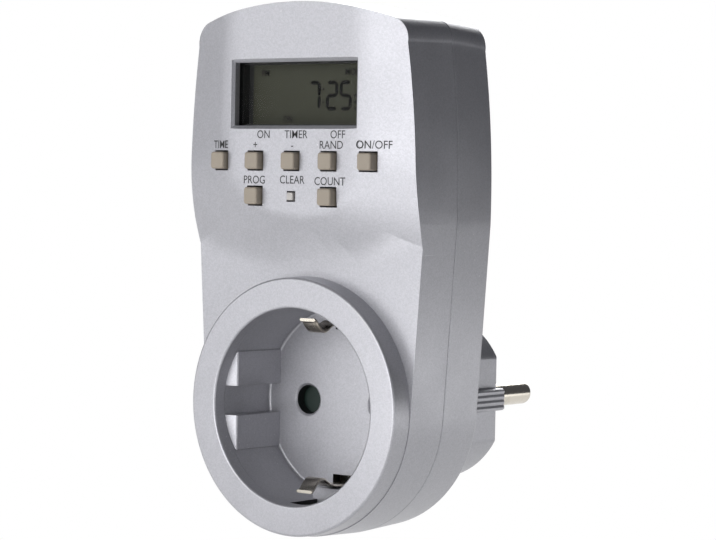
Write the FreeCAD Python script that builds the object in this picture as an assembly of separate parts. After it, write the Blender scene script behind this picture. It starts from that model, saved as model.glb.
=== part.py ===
import FreeCAD, Part
import math
import os

# A plug-in timer switch: wall plug behind, earthed socket in front, display and keys above.
# Sizes are in millimetres. X runs right as seen from the front, Y runs back to the wall and Z up.
# Depths are measured back from the face of the socket collar. The export moves the origin
# to the plug's face, midway between the pins.

os.makedirs("parts", exist_ok=True)
V = FreeCAD.Vector

# Depths
plug_face = 50.5
panel_front = -0.96
lower_face = 4.75
seam_depth = 15.2

# Outline of the body at the seam
drum_radius = 26.6
waist_half, waist_z = 29.05, 37.0
chest_half, chest_z = 28.75, 54.0
shoulder_half, shoulder_z = 26.95, 72.6
crown_half = 24.0
crown_top = 81.2
crown_radius = 77.0
front_draft = 0.35
rear_draft = 0.55
edge_round = 0.5
rear_round = 1.0
rear_space = 1.3
collar_round = 0.5
floor_round = 0.5

# Walls and general clearances
wall = 2.0
rear_wall = 2.4
seam_gap = 0.25
slip = 0.1
lip_thick = 0.9
lip_reach = 1.6

# Crown of the panel: a flat, U-ended facet and a surface that falls away round it
facet_half = 16.4
facet_straight_z = 50.0
facet_low_z = 38.0
fall_depth = 5.1
fall_half = 44.9
fall_low_z = 25.6

# Socket
collar_radius = 25.9
collar_draft = 0.5
recess_radius = 19.77
recess_depth = 17.6
lip_depth = 3.0
cup_wall = 2.15
cup_floor = 2.4
sleeve_wall = 1.5
flange_thick = 2.0
pin_pitch = 19.0
contact_hole = 2.9
contact_sink = 3.35
rib_flat = 16.8
rib_inner, rib_outer = 2.95, 10.15
rib_start = 4.0
rib_slope = 1.1

# Earth clips
clip_width = 4.0
clip_thick = 0.6
clip_start = 5.0
clip_contact = 14.6
clip_rest = 16.4
clip_tip = 17.6
clip_slot_low, clip_slot_high = 15.3, 17.3

# Plug
boss_radius = 17.8
boss_flat = 15.4
boss_ridge = 17.6
ridge_half = 2.3
boss_wall = 2.0
boss_face = 3.4
pin_radius = 2.4
pin_reach = 19.0
pin_head = 3.3
pin_head_long = 1.6
pin_nose = 1.1
plug_clip_half = 3.0
pin_shoulder = 2.7

# Display
window_half = 15.5
window_low, window_high = 56.14, 68.84
window_bevel = 0.7
lens_depth = 0.9
lens_plate = 1.0
lens_margin = 1.3
frame_margin = 2.4
glass_depth = 3.9
glass_thick = 2.0

# Keys
key_pitch = 9.33
key_size = 3.5
key_gap = 0.28
key_proud = 1.6
key_travel = 0.8
key_flange = 0.75
key_row_high, key_row_low = 49.1, 42.05
side_key_back = 0.55
side_flange_back = 1.1
low_flange_back = 0.9
reset_size = 1.6
reset_proud = 0.5
stem_size = 2.6
mat_thick = 0.8

# Boards
board_thick = 1.6
board_half = 24.0
board_low, board_high = 35.0, 75.2
board_notch_half, board_notch_z = 16.5, 66.5
power_half = 19.5
power_low, power_high = 30.0, 67.5

# Screws
screw_high = (21.0, 71.6)
screw_low = (22.9, 26.5)
screw_radius = 1.35
screw_head = 2.6
screw_boss = 2.9
screw_grip = 6.0
screw_sink = 4.0
pilot_radius = 1.1
board_screws = ((21.3, 60.0), (21.3, 39.5))
board_screw_radius = 0.9

# Shutter's return spring
spring_turns = 2.2
spring_start = 1.72
spring_pitch = 0.32
spring_wire = 0.16
spring_wide = 1.4
spring_pocket = 2.7
pivot_radius = 1.5
pivot_hole = 1.0

# Contacts
leaf_thick, leaf_half = 0.6, 3.2
leaf_flare = 0.25
base_thick = 0.8
tail_half, tail_high = 1.4, 1.0
bridge_half = 1.5

# Pieces on the boards: places in X and Z, then sizes
chip_z, chip_radius, chip_high = 55.0, 6.0, 1.6
crystal_place, crystal_radius, crystal_long = (10.5, 60.0), 1.5, 6.0
relay_left, relay_low, relay_wide, relay_high = -18.5, 32.0, 12.7, 26.5
film_left, film_low, film_wide, film_high, film_deep = -3.4, 34.0, 6.0, 18.0, 11.0
can_place, can_radius, can_long = (9.5, 40.0), 4.0, 11.5
cell_place, cell_radius, cell_thick, cell_lift = (11.5, 58.5), 5.8, 5.4, 0.8
tab_thick, tab_wide, tab_foot = 0.23, 1.8, 8.1
resistor_low, resistor_long, resistor_lead = 60.8, 5.0, 1.2
resistor_left, resistor_pitch = -15.5, 4.0
resistor_radii = (1.1, 1.1, 0.9, 0.9)
cable_left, cable_wide, cable_thick = 2.0, 10.0, 0.9
cable_top, cable_drop = 72.5, 6.6
rest_radius = 1.8
carrier_rest = (19.0, 9.0)

# What follows from the sizes above
panel_inner = panel_front + wall
floor_back = recess_depth + cup_floor
flange_wide = drum_radius - wall - rear_draft / 2 - slip
carrier_radius = drum_radius - wall - rear_draft - slip
flange_front = floor_back - flange_thick
cup_outer = recess_radius + cup_wall
sleeve_inner = cup_outer + slip
sleeve_outer = sleeve_inner + sleeve_wall
pin_x = pin_pitch / 2
pin_tip = plug_face + pin_reach
boss_inner = plug_face - boss_face
key_flange_front = panel_inner + slip + 0.15
glass_back = glass_depth + glass_thick
board_front = glass_back + 1.6
board_back = board_front + board_thick
mat_front = board_front - mat_thick
key_end = board_front - key_travel - slip
shutter_front = floor_back + 0.15
shutter_thick = 2.2
shutter_back = shutter_front + shutter_thick
carrier_front = shutter_back + 0.35
carrier_thick = 2.0
carrier_back = carrier_front + carrier_thick
rear_inner = carrier_back + rear_space
rear_depth = rear_inner + rear_wall
power_back = rear_inner - 0.4
power_front = power_back - board_thick
contact_front = carrier_front + 0.3
bridge_front = carrier_back + 0.15
bridge_thick = 0.8
contact_back = recess_depth + pin_reach + 1.0
pin_inner = contact_back + 3.4


def line(a, b):
    return Part.makeLine(V(*a), V(*b))


def arc(a, middle, b):
    return Part.Arc(V(*a), V(*middle), V(*b)).toShape()


def box(x0, x1, y0, y1, z0, z1):
    return Part.makeBox(x1 - x0, y1 - y0, z1 - z0, V(x0, y0, z0))


def rod(x, z, radius, y0, y1):
    return Part.makeCylinder(radius, y1 - y0, V(x, y0, z), V(0, 1, 0))


def cone(x, z, r0, r1, y0, y1):
    return Part.makeCone(r0, r1, y1 - y0, V(x, y0, z), V(0, 1, 0))


def tube(outer, inner, y0, y1):
    return rod(0, 0, outer, y0, y1).cut(rod(0, 0, inner, y0 - 1, y1 + 1))


def ribbon(points, thick, x0, x1):
    """A bent metal strip: the path is in Y and Z, the strip is as wide as x0 to x1."""
    near, far = [], []
    for i, (y, z) in enumerate(points):
        y0, z0 = points[max(i - 1, 0)]
        y1, z1 = points[min(i + 1, len(points) - 1)]
        run = math.hypot(y1 - y0, z1 - z0)
        ny, nz = -(z1 - z0) / run, (y1 - y0) / run
        near.append(V(x0, y, z))
        far.append(V(x0, y + ny * thick, z + nz * thick))
    outline = near + far[::-1] + [near[0]]
    return Part.Face(Part.makePolygon(outline)).extrude(V(x1 - x0, 0, 0))


def flip(shape):
    """The same piece below the socket's axis as above it."""
    return shape.mirror(V(0, 0, 0), V(0, 0, 1))


def mirror(shape):
    return shape.mirror(V(0, 0, 0), V(1, 0, 0))


def crownZ(x, inset):
    radius = crown_radius
    return crown_top - inset - radius + math.sqrt(radius * radius - x * x)


def outline(inset, depth):
    """The body's closed outline at one depth, drawn in by inset."""
    r = drum_radius - inset
    waist = waist_half - inset
    reach = math.hypot(waist, waist_z)
    turn = math.atan2(waist_z, waist) - math.acos(r / reach)
    tx, tz = r * math.cos(turn), r * math.sin(turn)
    chest = chest_half - inset
    shoulder = shoulder_half - inset
    crown = crown_half - inset
    top = crownZ(crown, inset)
    bend_x = 0.3 * crown + 0.7 * shoulder
    bend_z = 0.3 * (shoulder_z - inset) + 0.7 * top
    y = depth
    right = [line((tx, y, tz), (waist, y, waist_z)),
             arc((waist, y, waist_z), (chest, y, chest_z), (shoulder, y, shoulder_z - inset)),
             arc((shoulder, y, shoulder_z - inset), (bend_x, y, bend_z), (crown, y, top))]
    over = arc((crown, y, top), (0, y, crownZ(0, inset)), (-crown, y, top))
    left = [arc((-crown, y, top), (-bend_x, y, bend_z), (-shoulder, y, shoulder_z - inset)),
            arc((-shoulder, y, shoulder_z - inset), (-chest, y, chest_z), (-waist, y, waist_z)),
            line((-waist, y, waist_z), (-tx, y, tz))]
    under = arc((-tx, y, tz), (0, y, -r), (tx, y, tz))
    return Part.Wire(right + [over] + left + [under])


def bodyBlock(inset0, depth0, inset1, depth1):
    return Part.makeLoft([outline(inset0, depth0), outline(inset1, depth1)], True, True)


def uWire(half, low_z, depth):
    """A U open at the top: straight sides above, half an ellipse below."""
    top = crown_top + 10
    mid = facet_straight_z
    drop = mid - low_z
    major, minor = max(half, drop), min(half, drop)
    axis = V(1, 0, 0) if half >= drop else V(0, 0, -1)
    centre = V(0, depth, mid)
    other = V(0, 0, -1) if half >= drop else V(-1, 0, 0)
    oval = Part.Ellipse(centre + axis * major, centre + other * minor, centre)
    start, end = oval.parameter(V(half, depth, mid)), oval.parameter(V(-half, depth, mid))
    bottom = oval.toShape(min(start, end), max(start, end))
    if bottom.BoundBox.ZMax > mid + 1:
        bottom = oval.toShape(max(start, end), min(start, end) + 2 * math.pi)
    sides = [line((-half, depth, mid), (-half, depth, top)), line((-half, depth, top), (half, depth, top)),
             line((half, depth, top), (half, depth, mid))]
    return Part.Wire(Part.__sortEdges__([bottom] + sides))


def crownBlock(back):
    """Everything behind the panel's front surface, set back by a wall's thickness or none."""
    front = panel_front + back
    small = uWire(facet_half, facet_low_z, front)
    large = uWire(fall_half, fall_low_z, front + fall_depth - panel_front)
    fall = Part.makeLoft([small, large], True, True)
    rest = Part.Face(large).extrude(V(0, 2 * seam_depth, 0))
    return fall.fuse(rest)


def keyPlaces():
    """Name, X, Z, top size, and how far back each key's top and flange sit."""
    p = key_pitch
    high, low = key_row_high, key_row_low
    return [("clock_key", -2 * p, high, key_size, side_key_back, side_flange_back),
            ("plus_key", -p, high, key_size, 0, 0),
            ("minus_key", 0, high, key_size, 0, 0),
            ("random_key", p, high, key_size, 0, 0),
            ("on_off_key", 2 * p, high, key_size, side_key_back, side_flange_back),
            ("set_key", -p, low, key_size, 0, low_flange_back),
            ("reset_key", 0, low, reset_size, 0, low_flange_back),
            ("countdown_key", p, low, key_size, 0, low_flange_back)]


def screwPlaces(place):
    return [(place[0], place[1]), (-place[0], place[1])]


def boardScrewPlaces():
    return [spot for place in board_screws for spot in screwPlaces(place)]


def frontRim(shape, depth):
    return [edge for edge in shape.Edges if abs(edge.BoundBox.YMax - depth) < 0.05]


def steepness(face, point):
    """Nought on a wall that runs back, one on a face that looks to the front."""
    return abs(face.normalAt(*face.Surface.parameter(point)).y)


def panelRim(shape):
    """The edges where the panel's front meets the side walls."""
    rim = []
    for edge in shape.Edges:
        middle = edge.valueAt((edge.FirstParameter + edge.LastParameter) / 2)
        faces = [face for face in shape.Faces if any(edge.isSame(other) for other in face.Edges)]
        slopes = sorted(steepness(face, middle) for face in faces)
        if middle.y < lower_face + 0.5 and len(slopes) == 2 and slopes[0] < 0.25 and slopes[1] > 0.7:
            rim.append(edge)
    return rim


def frontShell():
    front_edge = seam_depth - lower_face
    lower = bodyBlock(0, seam_depth, front_draft, lower_face)
    keep = box(-40, 40, 0, seam_depth, -40, waist_z)
    upper = bodyBlock(0, seam_depth, front_draft + 0.1, panel_front)
    upper = upper.common(crownBlock(0))
    upper = upper.common(box(-40, 40, -5, seam_depth, fall_low_z - 1, crown_top + 5))
    upper = upper.makeFillet(edge_round, panelRim(upper))
    lower = lower.makeFillet(edge_round, frontRim(lower, lower_face))
    body = upper.fuse(lower.common(keep)).removeSplitter()
    collar = cone(0, 0, collar_radius, collar_radius + collar_draft, 0, front_edge)
    collar = collar.makeFillet(collar_round, frontRim(collar, 0))
    body = body.fuse(collar)

    hollow = bodyBlock(wall, seam_depth + 1, wall + front_draft, lower_face + wall)
    hollow = hollow.common(box(-40, 40, 0, seam_depth + 1, -40, waist_z))
    high = bodyBlock(wall, seam_depth + 1, wall + front_draft, panel_front)
    high = high.common(crownBlock(wall))
    high = high.common(box(-40, 40, -5, seam_depth + 1, fall_low_z + wall, crown_top))
    hollow = hollow.fuse(high)
    hollow = hollow.cut(rod(0, 0, sleeve_outer, -1, seam_depth + 2))
    body = body.cut(hollow)
    mouth = cone(0, 0, recess_radius + 2 * collar_round, recess_radius, -collar_round, collar_round)
    body = body.cut(rod(0, 0, recess_radius, -1, lip_depth + 1)).cut(mouth)
    body = body.cut(rod(0, 0, sleeve_inner, lip_depth, seam_depth + 1))
    sleeve = tube(sleeve_outer, sleeve_inner, seam_depth - 1, flange_front)
    body = body.fuse(sleeve)

    half, low, high_z = window_half, window_low, window_high
    body = body.cut(box(-half, half, -3, 3, low, high_z))
    wide = window_bevel
    mouth = rectangle(half + wide, low - wide, high_z + wide, panel_front)
    throat = rectangle(half, low, high_z, panel_front + wide)
    body = body.cut(Part.makeLoft([mouth, throat], True, True))
    for name, x, z, size, back, seat in keyPlaces():
        h = size / 2 + key_gap
        body = body.cut(box(x - h, x + h, -3, panel_inner + 3, z - h, z + h))
    posts = []
    for place in (screw_high, screw_low):
        for x, z in screwPlaces(place):
            start = panel_inner + 1.0 if place is screw_high else lower_face + wall
            post = rod(x, z, screw_boss, start - 0.4, seam_depth - 0.1)
            posts.append(post.cut(rod(x, z, pilot_radius, seam_depth - screw_grip - 0.4, seam_depth)))
    for x, z in boardScrewPlaces():
        start = panel_inner if z > facet_straight_z else lower_face - wall
        post = rod(x, z, 2.0, start - 0.2, board_front)
        posts.append(post.cut(rod(x, z, board_screw_radius - 0.2, board_front - 4, board_front + 1)))
    return body.fuse(posts)


def rectangle(half, low, high, depth):
    corners = [V(-half, depth, low), V(half, depth, low), V(half, depth, high), V(-half, depth, high)]
    return Part.makePolygon(corners + [corners[0]])


def socketCup():
    cup = rod(0, 0, cup_outer, lip_depth + slip / 2, floor_back)
    core = rod(0, 0, recess_radius, 0, recess_depth)
    core = core.makeFillet(floor_round, [e for e in core.Edges if e.BoundBox.YMin > recess_depth - 0.1])
    cup = cup.cut(core)
    cup = cup.fuse(tube(flange_wide, recess_radius, flange_front + slip / 2, floor_back))
    for side in (-1, 1):
        for up in (-1, 1):
            tip = rib_start - rib_slope
            rib = box(rib_flat, cup_outer - 0.5, tip, recess_depth + 0.5, rib_inner, rib_outer)
            ramp = [(rib_flat - 1, rib_start), (rib_flat, rib_start), (recess_radius + 0.2, tip),
                    (recess_radius + 0.2, 0), (rib_flat - 1, 0)]
            corners = [V(x, y, 0) for x, y in ramp]
            ramp_cut = Part.Face(Part.makePolygon(corners + [corners[0]])).extrude(V(0, 0, 20))
            rib = rib.cut(ramp_cut)
            rib = rib.common(rod(0, 0, cup_outer - slip, lip_depth + slip / 2, floor_back))
            if side < 0:
                rib = mirror(rib)
            if up < 0:
                rib = flip(rib)
            cup = cup.fuse(rib)
    wide = clip_width / 2 + 0.4
    slot = box(-wide, wide, recess_depth - 1, floor_back + 1, clip_slot_low, clip_slot_high)
    pocket = box(-wide, wide, clip_start - 1.2, recess_depth, recess_radius - 4, recess_radius + 1.1)
    block = box(-wide - 1.2, wide + 1.2, recess_depth - 5.2, recess_depth + 0.5,
                clip_slot_high - 0.1, cup_outer - 1)
    for turn in (lambda s: s, flip):
        cup = cup.cut(turn(pocket))
        cup = cup.fuse(turn(block))
        cup = cup.cut(turn(slot))
    for x in (-pin_x, pin_x):
        cup = cup.cut(rod(x, 0, contact_hole, recess_depth - 1, floor_back + 1))
        depth = contact_sink - contact_hole
        cup = cup.cut(cone(x, 0, contact_sink, contact_hole, recess_depth, recess_depth + depth))
    pivot = rod(0, 0, pivot_radius, floor_back - 0.5, carrier_front - 0.1)
    return cup.fuse(pivot)


def rearShell():
    start = seam_depth + seam_gap
    body = bodyBlock(0, start, rear_draft, rear_depth)
    rear_edges = [e for e in body.Edges if e.BoundBox.YMin > rear_depth - 0.1]
    body = body.makeFillet(rear_round, rear_edges)
    hollow = bodyBlock(wall, start - 1, wall + rear_draft, rear_inner)
    body = body.cut(hollow)
    lip = bodyBlock(wall + slip, seam_depth - lip_reach, wall + slip, start + 1.2)
    core = bodyBlock(wall + lip_thick, seam_depth - lip_reach - 1, wall + lip_thick, start + 2)
    root = bodyBlock(wall - 0.4, start, wall - 0.4, start + 1.2)
    lip = lip.fuse(root.cut(core)).cut(core)
    keep_clear = [rod(x, z, screw_boss + 0.3, 0, seam_depth + 0.2)
                  for place in (screw_high, screw_low) for x, z in screwPlaces(place)]
    keep_clear.append(rod(0, 0, flange_wide + 0.2, 0, floor_back + 0.1))
    body = body.fuse(lip.cut(Part.Compound(keep_clear)))

    boss = rod(0, 0, boss_radius, rear_depth - 1, plug_face)
    flats = box(-boss_flat, boss_flat, rear_depth - 2, plug_face + 1, -20, 20)
    ridge = box(-boss_ridge, boss_ridge, rear_depth - 1, plug_face, -ridge_half, ridge_half)
    ridge = ridge.common(boss)
    boss = boss.common(flats).fuse(ridge)
    for side in (-1, 1):
        for z in (-ridge_half / 2.2, 0, ridge_half / 2.2):
            groove = rod(side * boss_ridge, z, 0.32, rear_depth + 1, plug_face + 1)
            boss = boss.cut(groove)
    body = body.fuse(boss)
    core = rod(0, 0, boss_radius - boss_wall, rear_inner - 1, boss_inner)
    core = core.common(box(-boss_flat + boss_wall, boss_flat - boss_wall, 0, plug_face, -20, 20))
    body = body.cut(core)
    for x in (-pin_x, pin_x):
        body = body.cut(rod(x, 0, pin_shoulder + 0.05, boss_inner - 1, plug_face + 1))
    channel = box(-plug_clip_half - 0.3, plug_clip_half + 0.3, rear_depth + 3, plug_face + 1,
                  boss_radius - 2.0, boss_radius + 1)
    way = box(-plug_clip_half - 0.3, plug_clip_half + 0.3, rear_depth + 3, rear_depth + 5,
              boss_radius - 4.5, boss_radius - 1)
    for turn in (lambda s: s, flip):
        body = body.cut(turn(channel)).cut(turn(way))
    for place in (screw_high, screw_low):
        for x, z in screwPlaces(place):
            post = rod(x, z, screw_boss, seam_depth + 0.1, rear_depth - 0.5)
            body = body.fuse(post.common(bodyBlock(1, seam_depth - 1, 1, rear_depth)))
            body = body.cut(rod(x, z, screw_radius + 0.25, seam_depth - 1, rear_depth + 1))
            body = body.cut(rod(x, z, screw_head + 0.25, rear_depth - screw_sink, rear_depth + 1))
    rests = []
    for x in (-power_half + 3, power_half - 3):
        for z in (power_low + 3, power_high - 6):
            rests.append(rod(x, z, rest_radius, power_back, rear_inner + 0.5))
    for x in (-carrier_rest[0], carrier_rest[0]):
        for z in (-carrier_rest[1], carrier_rest[1]):
            rests.append(rod(x, z, rest_radius, carrier_back + 0.02, rear_inner + 0.5))
    return body.fuse(rests)


def lcdLens():
    plate_half = window_half + lens_margin
    plate = box(-plate_half, plate_half, panel_inner + 0.12, panel_inner + lens_plate,
                window_low - lens_margin, window_high + lens_margin)
    half = window_half - slip
    raised = box(-half, half, lens_depth, panel_inner + 0.2, window_low + slip, window_high - slip)
    return plate.fuse(raised)


def lcdFrame():
    back = glass_depth - 0.02
    front = panel_inner + lens_plate + 0.05
    m = frame_margin
    outer = box(-window_half - m, window_half + m, front, glass_back + 0.6, window_low - m, window_high + m)
    inner = box(-window_half + 0.3, window_half - 0.3, front - 1, back + 5, window_low + 0.3, window_high - 0.3)
    seat = box(-window_half - m + 0.9, window_half + m - 0.9, back, glass_back + 2,
               window_low - m + 0.9, window_high + m - 0.9)
    return outer.cut(inner).cut(seat)


def lcdGlass():
    m = frame_margin - 0.9 - slip
    return box(-window_half - m, window_half + m, glass_depth, glass_back, window_low - m, window_high + m)


def zebraStrips():
    strips = []
    for z in (window_low - 0.6, window_high - 0.9):
        strips.append(box(-window_half, window_half, glass_back + 0.02, board_front - 0.02, z, z + 1.5))
    return strips


def displayBoard():
    corners = [(-board_half, board_low), (board_half, board_low), (board_half, board_notch_z),
               (board_notch_half, board_notch_z), (board_notch_half, board_high),
               (-board_notch_half, board_high), (-board_notch_half, board_notch_z),
               (-board_half, board_notch_z)]
    points = [V(x, board_front + 0.02, z) for x, z in corners]
    board = Part.Face(Part.makePolygon(points + [points[0]])).extrude(V(0, board_thick - 0.02, 0))
    for x, z in boardScrewPlaces():
        board = board.cut(rod(x, z, board_screw_radius + 0.15, 0, seam_depth))
    return board


def keypadMat():
    low, high = key_row_low - 4, key_row_high + 4
    mat = box(-2 * key_pitch - 4.5, 2 * key_pitch + 4.5, mat_front, board_front, low, high)
    for name, x, z, size, back, seat in keyPlaces():
        h = stem_size / 2 + 0.35
        mat = mat.cut(box(x - h, x + h, 0, board_back, z - h, z + h))
    for x, z in boardScrewPlaces():
        mat = mat.cut(rod(x, z, 2.3, 0, board_back))
    return mat


def key(x, z, size, back, seat):
    proud = reset_proud if size == reset_size else key_proud
    front = panel_front - proud + back
    start = key_flange_front + seat
    h = size / 2
    cap = box(x - h, x + h, front, start + 0.3, z - h, z + h)
    edges = [e for e in cap.Edges if e.BoundBox.YMax < front + 0.1]
    cap = cap.makeFillet(min(0.45, size / 5), edges)
    f = h + key_gap + key_flange
    flange = box(x - f, x + f, start, start + 0.9, z - f, z + f)
    s = stem_size / 2
    stem = box(x - s, x + s, start + 0.5, key_end, z - s, z + s)
    return cap.fuse([flange, stem])


def chip():
    """A low drop of resin: the top of a ball cut off flat on the board."""
    seat = board_back + 0.02
    ball = Part.makeSphere(chip_radius, V(0, seat + chip_high - chip_radius, chip_z))
    return ball.common(rod(0, chip_z, chip_radius, seat, seat + chip_high))


def crystal():
    return rod(*crystal_place, crystal_radius, board_back + 0.02, board_back + crystal_long)


def powerBoard():
    return box(-power_half, power_half, power_front, power_back - 0.02, power_low, power_high)


def roundedTop(shape, radius):
    front = shape.BoundBox.YMin
    return shape.makeFillet(radius, [edge for edge in shape.Edges if edge.BoundBox.YMax < front + 0.1])


def relay():
    case = box(relay_left, relay_left + relay_wide, board_back + 0.7, power_front - 0.02,
               relay_low, relay_low + relay_high)
    return roundedTop(case, 0.6)


def filmCapacitor():
    case = box(film_left, film_left + film_wide, power_front - film_deep, power_front - 0.02,
               film_low, film_low + film_high)
    return roundedTop(case, 0.5)


def canCapacitor():
    return roundedTop(rod(*can_place, can_radius, power_front - can_long, power_front - 0.02), 0.5)


def cellBack():
    return power_front - cell_lift


def batteryCell():
    return rod(*cell_place, cell_radius, cellBack() - cell_thick, cellBack())


def batteryTabs():
    """A tab across each face of the cell, each with a foot on the board."""
    x, z = cell_place
    foot = z - tab_foot
    half = tab_wide / 2
    tabs = []
    for y in (cellBack() - cell_thick - tab_thick - 0.02, cellBack() + 0.02):
        tab = rod(x, z, cell_radius * 0.4, y, y + tab_thick)
        tab = tab.fuse(box(x - half, x + half, y, y + tab_thick, foot, z))
        tabs.append(tab.fuse(box(x - half, x + half, y, power_front - 0.02, foot - tab_thick, foot)))
    return tabs


def resistors():
    """Resistors and diodes lying on the power board, each with its bent leads."""
    parts = []
    lead = 0.3
    for i, radius in enumerate(resistor_radii):
        x = resistor_left + i * resistor_pitch
        y = power_front - radius - 0.15
        low, high = resistor_low - resistor_lead, resistor_low + resistor_long + resistor_lead
        body = Part.makeCylinder(radius, resistor_long, V(x, y, resistor_low), V(0, 0, 1))
        wire = Part.makeCylinder(lead, high - low, V(x, y, low), V(0, 0, 1))
        feet = [rod(x, z, lead, y, y + radius + 0.13) for z in (low + 0.2, high - 0.2)]
        parts.append(body.fuse([wire] + feet))
    return parts


def ribbonCable():
    """Flat wires from the back of the display board over to the power board."""
    start, end = board_back + 0.03, power_front - 0.03
    reach = end - start
    low = cable_top - cable_drop
    path = [(start, cable_top), (start + 1.2, cable_top), (start + reach * 0.4, cable_top - cable_drop * 0.3),
            (start + reach * 0.66, low + cable_drop * 0.17), (end - 1.2, low), (end, low)]
    return ribbon(path, cable_thick, cable_left, cable_left + cable_wide)


def shutter():
    """A rocking cover with a wing over each contact hole."""
    hub = rod(0, 0, 3.6, shutter_front, shutter_back)
    bar = box(-pin_x, pin_x, shutter_front, shutter_back, -2.2, 2.2)
    wings = [rod(side * pin_x, 0, contact_hole + 0.5, shutter_front, shutter_back) for side in (-1, 1)]
    body = hub.fuse([bar] + wings)
    return body.cut(rod(0, 0, pivot_radius + 0.06, 0, 40))


def shutterSpring():
    """The return spring, a flat spiral round the pivot in a pocket of the carrier."""
    inner, outer = [], []
    steps = 36
    for i in range(steps + 1):
        angle = spring_turns * 2 * math.pi * i / steps
        radius = spring_start + spring_pitch * angle / (2 * math.pi)
        spin = V(math.cos(angle), 0, math.sin(angle))
        inner.append(spin * radius)
        outer.append(spin * (radius + spring_wire))
    outline = inner + outer[::-1] + [inner[0]]
    spiral = Part.Face(Part.makePolygon(outline)).extrude(V(0, spring_wide, 0))
    spiral.translate(V(0, carrier_front + 0.2, 0))
    return spiral


def contactCarrier():
    plate = rod(0, 0, carrier_radius, carrier_front, carrier_back)
    for x in (-pin_x, pin_x):
        plate = plate.cut(box(x - 3.6, x + 3.6, 0, 40, -3.9, 3.9))
    plate = plate.cut(rod(0, 0, spring_pocket, carrier_front - 1, carrier_back - 0.2))
    plate = plate.cut(rod(0, 0, pivot_hole, carrier_front - 1, carrier_back + 1))
    wide = clip_width / 2 + 0.3
    slot = box(-wide, wide, 0, 40, clip_slot_low, clip_slot_high)
    plate = plate.cut(slot).cut(flip(slot))
    rim = tube(carrier_radius, carrier_radius - 2.0, floor_back + 0.05, carrier_front + 0.1)
    return plate.fuse(rim)


def contact(x):
    """A sprung fork that grips an inserted pin, tied to the plug's own pin behind it."""
    gap = pin_radius + 0.15
    outer = gap + leaf_thick
    leaf = box(gap, outer, contact_front, contact_back, -leaf_half, leaf_half)
    flare = box(gap - leaf_flare, gap, contact_front + 2.0, contact_back - 5, -1.2, 1.2)
    leaves = [leaf.fuse(flare)]
    leaves.append(mirror(leaves[0]))
    base = box(-outer, outer, contact_back, contact_back + base_thick, -leaf_half, leaf_half)
    tail = box(-tail_half, tail_half, contact_back + base_thick / 2, pin_inner - 0.02, -tail_high, tail_high)
    body = leaves[0].fuse([leaves[1], base, tail])
    body.translate(V(x, 0, 0))
    return body


def plugPin(x):
    bare = rod(x, 0, pin_radius, plug_face - 0.2, pin_tip)
    tip = [e for e in bare.Edges if e.BoundBox.YMin > pin_tip - 0.1]
    bare = bare.makeFillet(pin_nose, tip)
    shoulder = rod(x, 0, pin_shoulder, pin_inner, plug_face)
    head = rod(x, 0, pin_head, boss_inner - pin_head_long, boss_inner - 0.02)
    return bare.fuse([shoulder, head])


def earthClip():
    """The sprung strip in the recess, with a tail that runs back to the bridge."""
    path = [(clip_start, clip_tip - 0.9), (clip_start + 0.9, clip_tip - 0.4),
            (clip_start + 2.2, clip_contact + 0.9), (clip_start + 3.6, clip_contact),
            (clip_start + 5.0, clip_contact + 0.6),
            (clip_start + 7.4, clip_rest - 0.3), (clip_start + 9.0, clip_rest), (rear_inner - 0.1, clip_rest)]
    half = clip_width / 2
    return ribbon(path, clip_thick, -half, half)


def plugEarth():
    """The bare strip along the plug, with a foot inside that meets the bridge."""
    low = boss_radius - 1.9
    path = [(rear_depth + 3.4, low), (rear_depth + 6.5, low + 0.5), (rear_depth + 12.0, low + 1.25),
            (plug_face - 4.0, low + 1.2), (plug_face - 1.0, low + 0.3)]
    half = plug_clip_half
    strip = ribbon(path, 0.6, -half, half)
    foot = box(-half, half, rear_depth + 3.4, rear_depth + 4.2, boss_radius - 4.2, low + 0.3)
    neck = box(-bridge_half, bridge_half, bridge_front + bridge_thick + 0.02, rear_depth + 4.0,
               boss_radius - 4.2, boss_radius - 3.4)
    return strip.fuse([foot, neck])


def earthBridge():
    """One strip across the back of the carrier that joins both clips and the plug's strips."""
    back = bridge_front + bridge_thick
    return box(-bridge_half, bridge_half, bridge_front, back, -clip_rest + 0.02, clip_rest - 0.02)


def busbar(side):
    """A strip from a contact's base up to the power board."""
    x = side * pin_x
    y = power_back - board_thick / 2
    return box(x - 1.0, x + 1.0, y, y + 0.7, 3.22, power_low - 0.02)


def housingScrews():
    screws = []
    for place in (screw_high, screw_low):
        for x, z in screwPlaces(place):
            y = rear_depth - screw_sink
            shaft = rod(x, z, pilot_radius - 0.04, seam_depth - screw_grip, y + 0.5)
            head = rod(x, z, screw_head, y + 0.02, y + 1.8)
            slot = box(x - 1.6, x + 1.6, y + 1.1, y + 3, z - 0.35, z + 0.35)
            cross = box(x - 0.35, x + 0.35, y + 1.1, y + 3, z - 1.6, z + 1.6)
            screws.append(shaft.fuse(head).cut(slot).cut(cross))
    return screws


def boardScrews():
    screws = []
    for x, z in boardScrewPlaces():
        shaft = rod(x, z, board_screw_radius - 0.25, board_front - 3.5, board_back + 0.5)
        head = rod(x, z, 1.8, board_back + 0.02, board_back + 1.2)
        slot = box(x - 1.3, x + 1.3, board_back + 0.8, board_back + 2, z - 0.25, z + 0.25)
        screws.append(shaft.fuse(head).cut(slot))
    return screws


def save(name, shapes):
    """Write one node, with its origin moved to the plug's face."""
    shapes = shapes if isinstance(shapes, list) else [shapes]
    moved = []
    for shape in shapes:
        for solid in shape.Solids:
            copy = solid.copy()
            copy.translate(V(0, -plug_face, 0))
            moved.append(copy)
    whole = moved[0] if len(moved) == 1 else Part.Compound(moved)
    whole.exportStep(os.path.join("parts", name + ".step"))
    volume = sum(solid.Volume for solid in moved)
    print(name, len(moved), "solids", round(volume, 1), "mm3", all(solid.isValid() for solid in moved))


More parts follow.
